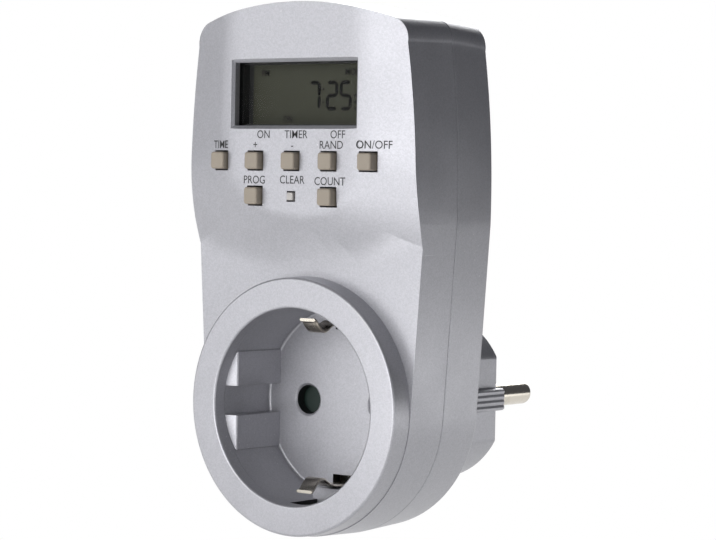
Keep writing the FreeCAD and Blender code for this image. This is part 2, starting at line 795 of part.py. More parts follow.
save("front_shell", frontShell())
save("socket_cup", socketCup())
save("rear_shell", rearShell())
save("lcd_lens", lcdLens())
save("lcd_frame", lcdFrame())
save("lcd_glass", lcdGlass())
save("zebra_strips", zebraStrips())
save("display_board", displayBoard())
save("keypad_mat", keypadMat())
for key_name, *key_sizes in keyPlaces():
    save(key_name, key(*key_sizes))
save("chip", chip())
save("crystal", crystal())
save("power_board", powerBoard())
save("relay", relay())
save("film_capacitor", filmCapacitor())
save("can_capacitor", canCapacitor())
save("backup_cell", batteryCell())
save("cell_tabs", batteryTabs())
save("resistors", resistors())
save("ribbon_cable", ribbonCable())
save("shutter", shutter())
save("shutter_spring", shutterSpring())
save("contact_carrier", contactCarrier())
for side_name, side in (("left", -1), ("right", 1)):
    save("socket_contact_" + side_name, contact(side * pin_x))
    save("plug_pin_" + side_name, plugPin(side * pin_x))
    save("busbar_" + side_name, busbar(side))
save("earth_clip_upper", earthClip())
save("earth_clip_lower", flip(earthClip()))
save("plug_earth_upper", plugEarth())
save("plug_earth_lower", flip(plugEarth()))
save("earth_bridge", earthBridge())
save("housing_screws", housingScrews())
save("board_screws", boardScrews())
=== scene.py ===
import bpy
import bmesh
import math
from mathutils import Matrix, Vector


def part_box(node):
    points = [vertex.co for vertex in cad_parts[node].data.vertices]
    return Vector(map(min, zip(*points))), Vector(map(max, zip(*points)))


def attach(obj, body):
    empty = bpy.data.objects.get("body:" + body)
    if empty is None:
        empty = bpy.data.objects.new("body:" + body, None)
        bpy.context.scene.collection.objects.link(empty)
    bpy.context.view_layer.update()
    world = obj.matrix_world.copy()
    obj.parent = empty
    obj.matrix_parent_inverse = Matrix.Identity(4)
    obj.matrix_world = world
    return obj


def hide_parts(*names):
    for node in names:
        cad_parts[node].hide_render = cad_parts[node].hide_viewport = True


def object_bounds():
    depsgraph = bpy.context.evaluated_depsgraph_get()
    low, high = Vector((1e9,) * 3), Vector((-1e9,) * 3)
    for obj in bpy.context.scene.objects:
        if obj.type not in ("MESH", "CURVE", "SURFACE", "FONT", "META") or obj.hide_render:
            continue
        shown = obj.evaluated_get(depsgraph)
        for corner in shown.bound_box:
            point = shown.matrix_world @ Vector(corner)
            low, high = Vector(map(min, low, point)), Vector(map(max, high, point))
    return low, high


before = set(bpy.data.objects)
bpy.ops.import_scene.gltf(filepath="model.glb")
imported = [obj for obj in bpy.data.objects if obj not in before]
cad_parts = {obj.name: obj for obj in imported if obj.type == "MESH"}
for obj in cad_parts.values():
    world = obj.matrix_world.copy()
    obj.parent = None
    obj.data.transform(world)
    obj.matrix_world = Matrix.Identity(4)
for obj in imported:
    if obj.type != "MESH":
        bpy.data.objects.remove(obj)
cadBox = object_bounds()
print("stage: frame loaded")

# Shapes are drawn in millimetres. Y is the depth behind the socket collar's face, as in the CAD source.
# settle() turns them into metres, with the origin at the middle of the plug's face.
mm = 0.001
plugFace = 50.5


# Outlines in X and Z

# Points along the circle through three points, without the last one
def arcPoints(a, middle, b, count):
    ax, az = a
    bx, bz = middle
    cx, cz = b
    d = 2 * (ax * (bz - cz) + bx * (cz - az) + cx * (az - bz))
    aa, bb, cc = ax * ax + az * az, bx * bx + bz * bz, cx * cx + cz * cz
    ux = (aa * (bz - cz) + bb * (cz - az) + cc * (az - bz)) / d
    uz = (aa * (cx - bx) + bb * (ax - cx) + cc * (bx - ax)) / d
    radius = math.hypot(ax - ux, az - uz)
    start = math.atan2(az - uz, ax - ux)
    through = math.atan2(bz - uz, bx - ux)
    end = math.atan2(cz - uz, cx - ux)
    turn = (end - start) % (2 * math.pi)
    if (through - start) % (2 * math.pi) > turn:
        turn -= 2 * math.pi
    angles = [start + turn * i / count for i in range(count)]
    return [(ux + radius * math.cos(angle), uz + radius * math.sin(angle)) for angle in angles]


def linePoints(a, b, count):
    return [(a[0] + (b[0] - a[0]) * i / count, a[1] + (b[1] - a[1]) * i / count) for i in range(count)]


def circle(x, z, radius, count=96):
    angles = [2 * math.pi * i / count for i in range(count)]
    return [(x + radius * math.cos(angle), z + radius * math.sin(angle)) for angle in angles]


# Inset and depth along a quarter round, from the face to the side
def rounding(radius, steps=5):
    angles = [math.pi / 2 * i / steps for i in range(steps + 1)]
    return [(radius - radius * math.sin(angle), radius - radius * math.cos(angle)) for angle in angles]


# Radius and depth along the quarter round where a wall of this radius meets a face at this depth
def cornerRound(radius, depth, fillet, steps):
    angles = [math.pi / 2 * i / steps for i in range(1, steps + 1)]
    return [(radius - fillet + fillet * math.cos(angle), depth - fillet + fillet * math.sin(angle))
            for angle in angles]


# Solids

def makeObject(name, verts, faces):
    mesh = bpy.data.meshes.new(name)
    mesh.from_pydata(verts, [], faces)
    bm = bmesh.new()
    bm.from_mesh(mesh)
    bmesh.ops.remove_doubles(bm, verts=bm.verts, dist=1e-5)
    bmesh.ops.recalc_face_normals(bm, faces=bm.faces)
    bm.to_mesh(mesh)
    bm.free()
    piece = bpy.data.objects.new(name, mesh)
    bpy.context.scene.collection.objects.link(piece)
    return piece


# A closed solid through outlines: each ring is a depth and its points
def loft(name, rings):
    count = len(rings[0][1])
    verts = [(x, depth, z) for depth, points in rings for x, z in points]
    faces = []
    for ring in range(len(rings) - 1):
        a, b = ring * count, (ring + 1) * count
        for i in range(count):
            j = (i + 1) % count
            faces.append((a + i, a + j, b + j, b + i))
    faces.append(tuple(range(count)))
    faces.append(tuple(range((len(rings) - 1) * count, len(rings) * count)))
    return makeObject(name, verts, faces)


# A ring or solid turned about a line along Y, from a closed profile in radius and depth
def revolve(name, profile, x=0.0, z=0.0, count=144):
    rows = len(profile)
    verts = []
    for k in range(count):
        angle = 2 * math.pi * k / count
        for radius, depth in profile:
            verts.append((x + radius * math.cos(angle), depth, z + radius * math.sin(angle)))
    faces = []
    for k in range(count):
        a, b = k * rows, ((k + 1) % count) * rows
        for i in range(rows):
            j = (i + 1) % rows
            if profile[i][0] != 0 or profile[j][0] != 0:
                faces.append((a + i, a + j, b + j, b + i))
    return makeObject(name, verts, faces)


def rectangle(x0, x1, z0, z1):
    return [(x0, z0), (x1, z0), (x1, z1), (x0, z1)]


def block(name, x0, x1, y0, y1, z0, z1):
    return loft(name, [(y0, rectangle(x0, x1, z0, z1)), (y1, rectangle(x0, x1, z0, z1))])


# Everything of the front shell that lies between two heights
def slab(name, low, high):
    return block(name, -50, 50, -10, 40, low, high)


def applyModifiers(piece):
    graph = bpy.context.evaluated_depsgraph_get()
    mesh = bpy.data.meshes.new_from_object(piece.evaluated_get(graph))
    piece.modifiers.clear()
    piece.data = mesh


# UNION, DIFFERENCE or INTERSECT of two closed solids, which uses up the second one
def combine(piece, other, how):
    step = piece.modifiers.new("combine", "BOOLEAN")
    step.operation = how
    step.solver = "EXACT"
    step.object = other
    applyModifiers(piece)
    bpy.data.objects.remove(other)


def cut(piece, other):
    combine(piece, other, "DIFFERENCE")


# Rounds the edges that are sharper than an angle, once flat neighbours are merged
def bevel(piece, width, segments=3, angle=35):
    bm = bmesh.new()
    bm.from_mesh(piece.data)
    bmesh.ops.remove_doubles(bm, verts=bm.verts, dist=0.01)
    bmesh.ops.dissolve_limit(bm, angle_limit=math.radians(0.4), verts=bm.verts, edges=bm.edges)
    bm.to_mesh(piece.data)
    bm.free()
    step = piece.modifiers.new("round", "BEVEL")
    step.width = width
    step.segments = segments
    step.limit_method = "ANGLE"
    step.angle_limit = math.radians(angle)
    step.use_clamp_overlap = True
    applyModifiers(piece)


# Metres, the frame's place, even shading, the material and the body that the piece rides on
def settle(piece, bodyName, material, nodes=(), smooth=32):
    mesh = piece.data
    mesh.transform(Matrix.Translation((0, -plugFace * mm, 0)) @ Matrix.Scale(mm, 4))
    mesh.shade_smooth()
    mesh.set_sharp_from_angle(angle=math.radians(smooth))
    even = piece.modifiers.new("even", "WEIGHTED_NORMAL")
    even.keep_sharp = True
    applyModifiers(piece)
    piece.data.materials.clear()
    piece.data.materials.append(material)
    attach(piece, bodyName)
    if nodes:
        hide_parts(*nodes)
    return piece


# Effects that several finishes share, each built once as a group

def startGroup(name, inputs, outputs):
    group = bpy.data.node_groups.new(name, "ShaderNodeTree")
    for label, kind, value in inputs:
        entry = group.interface.new_socket(name=label, in_out="INPUT", socket_type="NodeSocket" + kind)
        entry.default_value = value
    for label, kind in outputs:
        group.interface.new_socket(name=label, in_out="OUTPUT", socket_type="NodeSocket" + kind)
    nodes, links = group.nodes, group.links
    where = nodes.new("ShaderNodeTexCoord")
    return group, nodes, links, nodes.new("NodeGroupInput"), nodes.new("NodeGroupOutput"), where


# One step of arithmetic on two sockets or numbers
def mathNode(nodes, links, operation, first, second):
    node = nodes.new("ShaderNodeMath")
    node.operation = operation
    for entry, given in zip(node.inputs, (first, second)):
        if isinstance(given, (int, float)):
            entry.default_value = given
        else:
            links.new(given, entry)
    return node.outputs[0]


def addNoise(nodes, links, where, given, detail):
    noise = nodes.new("ShaderNodeTexNoise")
    noise.inputs["Detail"].default_value = detail
    links.new(where.outputs["Object"], noise.inputs["Vector"])
    links.new(given.outputs["Scale"], noise.inputs["Scale"])
    return noise


# A colour made lighter and darker by a swing about zero
def shadeColour(nodes, links, colour, swing, strength):
    shade = mathNode(nodes, links, "ADD", mathNode(nodes, links, "MULTIPLY", swing, strength), 1)
    tone = nodes.new("ShaderNodeVectorMath")
    tone.operation = "SCALE"
    links.new(colour, tone.inputs[0])
    links.new(shade, tone.inputs["Scale"])
    return tone.outputs["Vector"]


# A slow drift of tone over a moulded or plated surface
def buildMottle():
    group, nodes, links, given, result, where = startGroup(
        "slowMottle",
        [("Colour", "Color", (0.5, 0.5, 0.5, 1)), ("Variation", "Float", 0.08), ("Scale", "Float", 160)],
        [("Colour", "Color"), ("Mask", "Float")])
    noise = addNoise(nodes, links, where, given, 3)
    offset = mathNode(nodes, links, "SUBTRACT", noise.outputs["Fac"], 0.5)
    swing = mathNode(nodes, links, "MULTIPLY", offset, 4)
    tone =shadeColour(nodes, links, given.outputs["Colour"], swing, given.outputs["Variation"])
    links.new(tone, result.inputs["Colour"])
    links.new(noise.outputs["Fac"], result.inputs["Mask"])
    return group


# The fine tooth of a mould or a rolled strip
def buildGrain():
    group, nodes, links, given, result, where = startGroup(
        "fineGrain", [("Scale", "Float", 2500)], [("Height", "Float")])
    noise = addNoise(nodes, links, where, given, 1)
    links.new(noise.outputs["Fac"], result.inputs["Height"])
    return group


# Aluminium flakes in the paint: each one a little lighter or darker than the next
def buildFlake():
    group, nodes, links, given, result, where = startGroup(
        "paintFlake",
        [("Colour", "Color", (0.5, 0.5, 0.5, 1)), ("Scale", "Float", 4200), ("Strength", "Float", 0.1)],
        [("Colour", "Color"), ("Height", "Float")])
    cells = nodes.new("ShaderNodeTexVoronoi")
    links.new(where.outputs["Object"], cells.inputs["Vector"])
    links.new(given.outputs["Scale"], cells.inputs["Scale"])
    split = nodes.new("ShaderNodeSeparateColor")
    links.new(cells.outputs["Color"], split.inputs["Color"])
    swing = mathNode(nodes, links, "SUBTRACT", split.outputs["Red"], 0.5)
    tone = shadeColour(nodes, links, given.outputs["Colour"], swing, given.outputs["Strength"])
    links.new(tone, result.inputs["Colour"])
    links.new(split.outputs["Green"], result.inputs["Height"])
    return group


# Sparse flecks and rubbed spots, gathered in a few places
def buildFlecks():
    group, nodes, links, given, result, where = startGroup(
        "rubbedFlecks",
        [("Scale", "Float", 700), ("Reach", "Float", 0.16), ("Spread", "Float", 0.6)],
        [("Mask", "Float")])
    cells = nodes.new("ShaderNodeTexVoronoi")
    patches = nodes.new("ShaderNodeTexNoise")
    patches.inputs["Scale"].default_value = 60
    for node in (cells, patches):
        links.new(where.outputs["Object"], node.inputs["Vector"])
    links.new(given.outputs["Scale"], cells.inputs["Scale"])
    spot = mathNode(nodes, links, "LESS_THAN", cells.outputs["Distance"], given.outputs["Reach"])
    area = mathNode(nodes, links, "GREATER_THAN", patches.outputs["Fac"], given.outputs["Spread"])
    links.new(mathNode(nodes, links, "MULTIPLY", spot, area), result.inputs["Mask"])
    return group


# Brownish stain that has crept over bare or plated metal
def buildTarnish():
    group, nodes, links, given, result, where = startGroup(
        "metalTarnish",
        [("Colour", "Color", (0.6, 0.6, 0.6, 1)), ("Stain", "Color", (0.2, 0.14, 0.08, 1)),
         ("Amount", "Float", 0.4), ("Scale", "Float", 220)],
        [("Colour", "Color"), ("Mask", "Float")])
    noise = addNoise(nodes, links, where, given, 5)
    ramp = nodes.new("ShaderNodeMapRange")
    ramp.inputs["From Min"].default_value = 0.45
    ramp.inputs["From Max"].default_value = 0.75
    links.new(noise.outputs["Fac"], ramp.inputs["Value"])
    mask = mathNode(nodes, links, "MULTIPLY", ramp.outputs["Result"], given.outputs["Amount"])
    mix = nodes.new("ShaderNodeMix")
    mix.data_type = "RGBA"
    links.new(mask, mix.inputs["Factor"])
    links.new(given.outputs["Colour"], mix.inputs["A"])
    links.new(given.outputs["Stain"], mix.inputs["B"])
    links.new(mix.outputs["Result"], result.inputs["Colour"])
    links.new(mask, result.inputs["Mask"])
    return group


mottle = buildMottle()
grain = buildGrain()
flake = buildFlake()
flecks = buildFlecks()
tarnish = buildTarnish()
print("stage: shared effects")


# Finishes

def newMaterial(name):
    material = bpy.data.materials.new(name)
    material.use_nodes = True
    nodes = material.node_tree.nodes
    return material, nodes, material.node_tree.links, nodes["Principled BSDF"]


def useGroup(nodes, group, **values):
    node = nodes.new("ShaderNodeGroup")
    node.node_tree = group
    for label, value in values.items():
        node.inputs[label].default_value = value
    return node


def addBump(nodes, links, shader, height, strength, depth):
    bump = nodes.new("ShaderNodeBump")
    bump.inputs["Strength"].default_value = strength
    bump.inputs["Distance"].default_value = depth * mm
    links.new(height, bump.inputs["Height"])
    links.new(bump.outputs["Normal"], shader.inputs["Normal"])


# Roughness that drifts by spread to either side, where the mask runs from 0.3 to 0.7
def addGloss(nodes, links, shader, mask, roughness, spread):
    gloss = nodes.new("ShaderNodeMapRange")
    gloss.inputs["From Min"].default_value = 0.3
    gloss.inputs["From Max"].default_value = 0.7
    gloss.inputs["To Min"].default_value = roughness - spread
    gloss.inputs["To Max"].default_value = roughness + spread
    links.new(mask, gloss.inputs["Value"])
    links.new(gloss.outputs["Result"], shader.inputs["Roughness"])


paint = {
    "colour": (0.42, 0.42, 0.45, 1), "metallic": 0.55, "roughness": 0.38, "spread": 0.04,
    "coat": 0.12, "coatRoughness": 0.28, "variation": 0.03, "driftScale": 90,
    "flake": 0.16, "flakeScale": 4200, "flakeBump": 0.08,
    "fleckColour": (0.6, 0.6, 0.61, 1), "fleckScale": 750, "fleckReach": 0.1, "fleckSpread": 0.64,
}


# Silver paint: flakes, a faint drift of tone and gloss, and a few rubbed flecks
def makePaint(name):
    material, nodes, links, shader = newMaterial(name)
    shader.inputs["Metallic"].default_value = paint["metallic"]
    shader.inputs["Coat Weight"].default_value = paint["coat"]
    shader.inputs["Coat Roughness"].default_value = paint["coatRoughness"]
    drift = useGroup(nodes, mottle, Colour=paint["colour"], Variation=paint["variation"],
                     Scale=paint["driftScale"])
    sparkle = useGroup(nodes, flake, Scale=paint["flakeScale"], Strength=paint["flake"])
    spots = useGroup(nodes, flecks, Scale=paint["fleckScale"], Reach=paint["fleckReach"],
                     Spread=paint["fleckSpread"])
    links.new(drift.outputs["Colour"], sparkle.inputs["Colour"])
    rubbed = nodes.new("ShaderNodeMix")
    rubbed.data_type = "RGBA"
    rubbed.inputs["B"].default_value = paint["fleckColour"]
    links.new(spots.outputs["Mask"], rubbed.inputs["Factor"])
    links.new(sparkle.outputs["Colour"], rubbed.inputs["A"])
    links.new(rubbed.outputs["Result"], shader.inputs["Base Color"])
    addGloss(nodes, links, shader, drift.outputs["Mask"], paint["roughness"], paint["spread"])
    addBump(nodes, links, shader, sparkle.outputs["Height"], paint["flakeBump"], 0.03)
    return material


# Plain moulding, rubber, board or ink: a fine tooth and a slow drift of tone
def makeMoulded(name, colour, roughness, variation=0.05, scale=2500, depth=0.03, specular=0.5):
    material, nodes, links, shader = newMaterial(name)
    shader.inputs["Specular IOR Level"].default_value = specular
    drift = useGroup(nodes, mottle, Colour=(*colour, 1), Variation=variation, Scale=160)
    tooth = useGroup(nodes, grain, Scale=scale)
    links.new(drift.outputs["Colour"], shader.inputs["Base Color"])
    addGloss(nodes, links, shader, drift.outputs["Mask"], roughness, 0.05)
    addBump(nodes, links, shader, tooth.outputs["Height"], 0.15, depth)
    return material


# Bare or plated metal: drawn grain and a creeping stain that is duller than the rest
def makeMetal(name, colour, roughness, amount=0.3):
    material, nodes, links, shader = newMaterial(name)
    shader.inputs["Metallic"].default_value = 1.0
    aged = useGroup(nodes, tarnish, Colour=(*colour, 1), Stain=(0.2, 0.14, 0.08, 1), Amount=amount, Scale=220)
    tooth = useGroup(nodes, grain, Scale=900)
    links.new(aged.outputs["Colour"], shader.inputs["Base Color"])
    duller = mathNode(nodes, links, "MULTIPLY", aged.outputs["Mask"], 0.35)
    links.new(mathNode(nodes, links, "ADD", duller, roughness), shader.inputs["Roughness"])
    addBump(nodes, links, shader, tooth.outputs["Height"], 0.12, 0.02)
    return material


# The clear window: almost unseen, with faint wipe marks in its gloss
def makeClear(name):
    material, nodes, links, shader = newMaterial(name)
    shader.inputs["Alpha"].default_value = 0.05
    drift = useGroup(nodes, mottle, Colour=(0.012, 0.013, 0.012, 1), Variation=0.05, Scale=350)
    links.new(drift.outputs["Colour"], shader.inputs["Base Color"])
    addGloss(nodes, links, shader, drift.outputs["Mask"], 0.1, 0.04)
    return material


silver = makePaint("silver_paint")
clear = makeClear("clear_window")
keyStock = makeMoulded("key_stock", (0.33, 0.285, 0.23), 0.5)
resetStock = makeMoulded("reset_stock", (0.5, 0.48, 0.46), 0.5)
# Black for the display frame, and also used as painted shade in the socket's recesses, the seam gap and the
# display's left edge
black = makeMoulded("black_moulding_and_painted_shade", (0.008, 0.009, 0.009), 0.45)
shutterStock = makeMoulded("shutter_stock", (0.002, 0.014, 0.01), 0.45)
greenBoard = makeMoulded("green_board", (0.02, 0.12, 0.04), 0.35, variation=0.2)
naturalStock = makeMoulded("natural_moulding", (0.55, 0.53, 0.47), 0.5)
greyRubber = makeMoulded("grey_rubber", (0.3, 0.3, 0.3), 0.7)
resin = makeMoulded("black_resin", (0.01, 0.01, 0.01), 0.2)
relayStock = makeMoulded("relay_case", (0.02, 0.05, 0.16), 0.35)
filmStock = makeMoulded("film_case", (0.6, 0.35, 0.03), 0.3)
resistorStock = makeMoulded("resistor_coat", (0.5, 0.36, 0.2), 0.5)
ink = makeMoulded("grey_ink", (0.03, 0.03, 0.03), 0.6)
display = makeMoulded("display_face", (0.048, 0.05, 0.034), 0.55, 0.04, 400, 0.01, specular=0.15)
segmentInk = makeMoulded("display_segment", (0.002, 0.002, 0.002), 0.7, specular=0.15)
nickel = makeMetal("nickel_plate", (0.62, 0.58, 0.51), 0.2, 0.35)
brass = makeMetal("bare_brass", (0.72, 0.52, 0.2), 0.3)
steel = makeMetal("plated_steel", (0.55, 0.55, 0.55), 0.3, 0.15)
canStock = makeMetal("drawn_can", (0.6, 0.6, 0.62), 0.25, 0.1)

# The keys, which aren't listed, take the key stock
nodeMaterials = {
    "lcd_lens": clear, "lcd_frame": black, "lcd_glass": display, "zebra_strips": greyRubber,
    "display_board": greenBoard, "keypad_mat": greyRubber, "chip": resin, "crystal": steel,
    "power_board": greenBoard, "relay": relayStock, "film_capacitor": filmStock, "can_capacitor": canStock,
    "backup_cell": steel, "cell_tabs": steel, "resistors": resistorStock, "ribbon_cable": greyRubber,
    "shutter": shutterStock, "shutter_spring": steel, "contact_carrier": naturalStock,
    "socket_contact_left": brass, "socket_contact_right": brass, "plug_pin_left": nickel,
    "plug_pin_right": nickel, "busbar_left": brass, "busbar_right": brass, "earth_clip_upper": nickel,
    "earth_clip_lower": nickel, "plug_earth_upper": nickel, "plug_earth_lower": nickel,
    "earth_bridge": brass, "housing_screws": steel, "board_screws": steel,
    "front_shell": silver, "socket_cup": silver, "rear_shell": silver,
}
for nodeName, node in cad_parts.items():
    node.data.materials.clear()
    node.data.materials.append(nodeMaterials.get(nodeName, keyStock))
print("stage: materials")


# Housing: each pair is a half width and its height above the plug's axis

housing = {
    "drum": 26.6, "waist": (29.05, 37.0), "chest": (28.75, 54.0), "shoulder": (26.95, 72.6),
    "crown": 24.0, "top": 81.2, "topRadius": 77.0,
    "panel": -0.96, "lower": 4.75, "seam": 15.2, "gap": 0.25, "rear": 28.4,
    "frontDraft": 0.35, "rearDraft": 0.55, "wall": 2.0, "edge": 0.45, "rearRound": 1.0,
}


def mirrored(point):
    return (-point[0], point[1])


# The housing's outline seen from the front, drawn in by inset
def housingOutline(inset):
    r = housing["drum"] - inset
    waist = (housing["waist"][0] - inset, housing["waist"][1])
    turn = math.atan2(waist[1], waist[0]) - math.acos(r / math.hypot(*waist))
    tangent = (r * math.cos(turn), r * math.sin(turn))
    chest = (housing["chest"][0] - inset, housing["chest"][1])
    shoulder = (housing["shoulder"][0] - inset, housing["shoulder"][1] - inset)
    radius = housing["topRadius"]
    apex = housing["top"] - inset
    crownX = housing["crown"] - inset
    crown = (crownX, apex - radius + math.sqrt(radius * radius - crownX * crownX))
    bend = (0.3 * crown[0] + 0.7 * shoulder[0], 0.3 * shoulder[1] + 0.7 * crown[1])
    points = linePoints(tangent, waist, 24)
    points += arcPoints(waist, chest, shoulder, 36)
    points += arcPoints(shoulder, bend, crown, 14)
    points += arcPoints(crown, (0, apex), mirrored(crown), 60)
    points += arcPoints(mirrored(crown), mirrored(bend), mirrored(shoulder), 14)
    points += arcPoints(mirrored(shoulder), mirrored(chest), mirrored(waist), 36)
    points += linePoints(mirrored(waist), mirrored(tangent), 24)
    points += arcPoints(mirrored(tangent), (0, -r), tangent, 120)
    return points


# Front shell: the facet is the flat part of the panel, and the surface falls away round it

facet = {"half": 16.4, "straight": 50.0, "low": 38.0, "fallDepth": 5.1, "fallHalf": 44.9, "fallLow": 25.6,
         "soft": 0.1}
collar = {"radius": 25.9, "draft": 0.5, "outerRound": 0.55, "mouthRound": 0.5, "sleeve": 23.5, "bore": 22.0}
window = {"half": 15.5, "low": 56.14, "high": 68.84, "bevel": 0.7}
recess = {"radius": 19.77, "depth": 17.6, "lip": 3.0}  # the socket's, which the cup shares
keys = {"pitch": 9.33, "size": 3.5, "gap": 0.28, "proud": 1.6, "high": 49.1, "low": 42.05,
        "sideBack": 0.55, "resetSize": 1.6, "resetProud": 0.5}


# Middle in X and Z, size, and how far each key stands back from the panel's middle
def keyPlaces():
    p = keys["pitch"]
    high, low, size, back = keys["high"], keys["low"], keys["size"], keys["sideBack"]
    return {
        "clock_key": (-2 * p, high, size, back), "plus_key": (-p, high, size, 0),
        "minus_key": (0, high, size, 0), "random_key": (p, high, size, 0),
        "on_off_key": (2 * p, high, size, back), "set_key": (-p, low, size, 0),
        "reset_key": (0, low, keys["resetSize"], 0), "countdown_key": (p, low, size, 0),
    }


# A U open at the top, with half an ellipse for its lower end
def uOutline(half, low):
    top = housing["top"] + 10  # well above the housing
    mid = facet["straight"]
    points = linePoints((half, mid), (half, top), 12)
    points += linePoints((half, top), (-half, top), 20)
    points += linePoints((-half, top), (-half, mid), 12)
    angles = [math.pi * i / 72 for i in range(72)]
    points += [(-half * math.cos(angle), mid - (mid - low) * math.sin(angle)) for angle in angles]
    return points


# Everything behind the panel's front: a flat, U-ended facet and the fall round it
def crownSolid(back, name):
    soft = facet["soft"]
    panel = housing["panel"]
    rings = []
    for t in (-soft, -soft / 2, 0, soft / 2, soft, 0.3, 0.5, 0.75, 1.0):
        half = facet["half"] + (facet["fallHalf"] - facet["half"]) * t
        low = facet["low"] + (facet["fallLow"] - facet["low"]) * t
        fall = (t + soft) ** 2 / (4 * soft) if t < soft else t  # a gentle start to the fall
        rings.append((panel + back + (facet["fallDepth"] - panel) * fall, uOutline(half, low)))
    rings.append((45.0, uOutline(facet["fallHalf"], facet["fallLow"])))  # far behind the shell
    return loft(name, rings)


def makeOuterForm():
    seam, draft = housing["seam"], housing["frontDraft"]
    panel = (housing["panel"], housingOutline(draft + 0.1))
    shell = loft("front_shell_skin", [(seam, housingOutline(0)), panel])
    combine(shell, crownSolid(0, "crown"), "INTERSECT")
    combine(shell, slab("above", facet["fallLow"] - 1, 95), "INTERSECT")
    lower = loft("lower", [(seam, housingOutline(0)), (housing["lower"], housingOutline(draft))])
    combine(lower, slab("below", -50, housing["waist"][1]), "INTERSECT")
    combine(shell, lower, "UNION")
    bevel(shell, housing["edge"])
    return shell


def addCollar(shell):
    r = collar["radius"]
    mouth = recess["radius"]
    back = housing["seam"] - 4.0  # where the collar ends inside the shell
    profile = [(r + collar["draft"], back)]
    profile += [(r - inset, depth) for inset, depth in reversed(rounding(collar["outerRound"]))]
    profile += [(mouth + inset, depth) for inset, depth in rounding(collar["mouthRound"])]
    profile += [(mouth, back)]
    cut(shell, revolve("core", [(0, -3), (r - 2.0, -3), (r - 2.0, back - 0.5), (0, back - 0.5)]))
    combine(shell, revolve("collar", profile, count=192), "UNION")


def hollowOut(shell):
    seam, draft, wall = housing["seam"], housing["frontDraft"], housing["wall"]
    rim, panel = (seam + 1, housingOutline(wall)), (housing["panel"], housingOutline(wall + draft))
    upper = loft("hollow", [rim, panel])
    combine(upper, crownSolid(wall, "inner_crown"), "INTERSECT")
    combine(upper, slab("above", facet["fallLow"] + wall, 95), "INTERSECT")
    cut(shell, upper)
    lower = loft("hollow", [rim, (housing["lower"] + wall, housingOutline(wall + draft))])
    combine(lower, slab("below", -50, housing["waist"][1]), "INTERSECT")
    sleeve, bore = circle(0, 0, collar["sleeve"]), circle(0, 0, collar["bore"])
    cut(lower, loft("sleeve", [(-5, sleeve), (40, sleeve)]))
    cut(shell, lower)
    cut(shell, loft("bore", [(recess["lip"], bore), (40, bore)]))


def cutOpenings(shell):
    half, low, high, b = window["half"], window["low"], window["high"], window["bevel"]
    front = housing["panel"]
    cut(shell, block("opening", -half, half, -5, 5, low, high))
    ramp = [(depth, rectangle(-half - m, half + m, low - m, high + m))
            for depth, m in ((front - 0.02, b), (front + b, 0))]
    cut(shell, loft("ramp", ramp))
    for x, z, size, _ in keyPlaces().values():
        h = size / 2 + keys["gap"]
        cut(shell, block("opening", x - h, x + h, -5, 5, z - h, z + h))


def makeFrontShell():
    shell = makeOuterForm()
    print("stage: front shell, outer form")
    addCollar(shell)
    hollowOut(shell)
    print("stage: front shell, hollow")
    cutOpenings(shell)
    return settle(shell, "housing", silver, ["front_shell"])


frontShell = makeFrontShell()
print("stage: front shell,", len(frontShell.data.polygons), "faces")


# Socket cup

cupSizes = {"wall": 2.15, "floor": 2.4, "floorRound": 0.55, "flange": 24.0, "flangeThick": 1.9,
            "lipGap": 0.05}
rib = {"flat": 16.8, "low": 2.95, "high": 10.15, "start": 4.0, "slope": 1.1, "outer": 20.4, "lead": 0.25,
       "leadRise": 0.35, "round": 0.25}
contactHole = {"pin": 9.5, "radius": 2.9, "sink": 3.35}  # pin is the hole's distance from the middle
clipSlot = {"half": 2.5, "low": 14.9, "high": 17.3, "rise": 1.5, "pocketFront": 3.6, "pocketDeep": 1.2,
            "shelfHalf": 3.6, "shelfLow": 17.25, "shelfHigh": 21.0, "shelfRise": 5.2}


def makeRib(side, up):
    depth = recess["depth"] + 0.3  # sunk a little into the floor
    flat, outer, start = rib["flat"], rib["outer"], rib["start"]
    path = [(flat, depth), (flat, start), (flat + rib["lead"], start - rib["leadRise"]),
            (outer, start - rib["slope"]), (outer, depth)]
    verts = [(side * x, y, up * z) for z in (rib["low"], rib["high"]) for x, y in path]
    n = len(path)
    faces = [(i, (i + 1) % n, n + (i + 1) % n, n + i) for i in range(n)]
    faces += [tuple(range(n)), tuple(range(n, 2 * n))]
    piece = makeObject("rib", verts, faces)
    bevel(piece, rib["round"], 2)
    return piece


# The pocket, shelf and slot of one earth clip
def fitClip(cup, up):
    r, depth = recess["radius"], recess["depth"]
    half, shelf = clipSlot["half"], clipSlot["shelfHalf"]
    back = depth + cupSizes["floor"]
    low, high = sorted((up * (r - 4), up * (r + clipSlot["pocketDeep"])))
    cut(cup, block("pocket", -half, half, clipSlot["pocketFront"], depth - 0.01, low, high))
    low, high = sorted((up * clipSlot["shelfLow"], up * clipSlot["shelfHigh"]))
    step = block("shelf", -shelf, shelf, depth - clipSlot["shelfRise"], depth + 0.5, low, high)
    combine(cup, step, "UNION")
    low, high = sorted((up * clipSlot["low"], up * clipSlot["high"]))
    cut(cup, block("slot", -half, half, depth - clipSlot["rise"], back + 1, low, high))


# Black on the faces inside the contact holes, the clip slots and the pockets behind the clips: painted shade
# in these recesses
def paintRecessShade(cup):
    cup.data.materials.append(black)
    floor = recess["depth"]
    near = 0.1  # how far a face's middle may lie outside the nominal opening
    for face in cup.data.polygons:
        x, depth, z = face.center.x / mm, face.center.y / mm + plugFace, face.center.z / mm
        across, rise = abs(x), abs(z)
        inSlot = across < clipSlot["half"] + near
        fromPin = math.hypot(across - contactHole["pin"], z)
        hole = fromPin < contactHole["radius"] + 0.06 and depth > floor + 0.4
        slot = inSlot and clipSlot["low"] - near < rise < clipSlot["high"] + near and depth > floor + 0.05
        pocket = inSlot and rise > recess["radius"] - near and clipSlot["pocketFront"] - near < depth < floor
        if hole or slot or pocket:
            face.material_index = 1


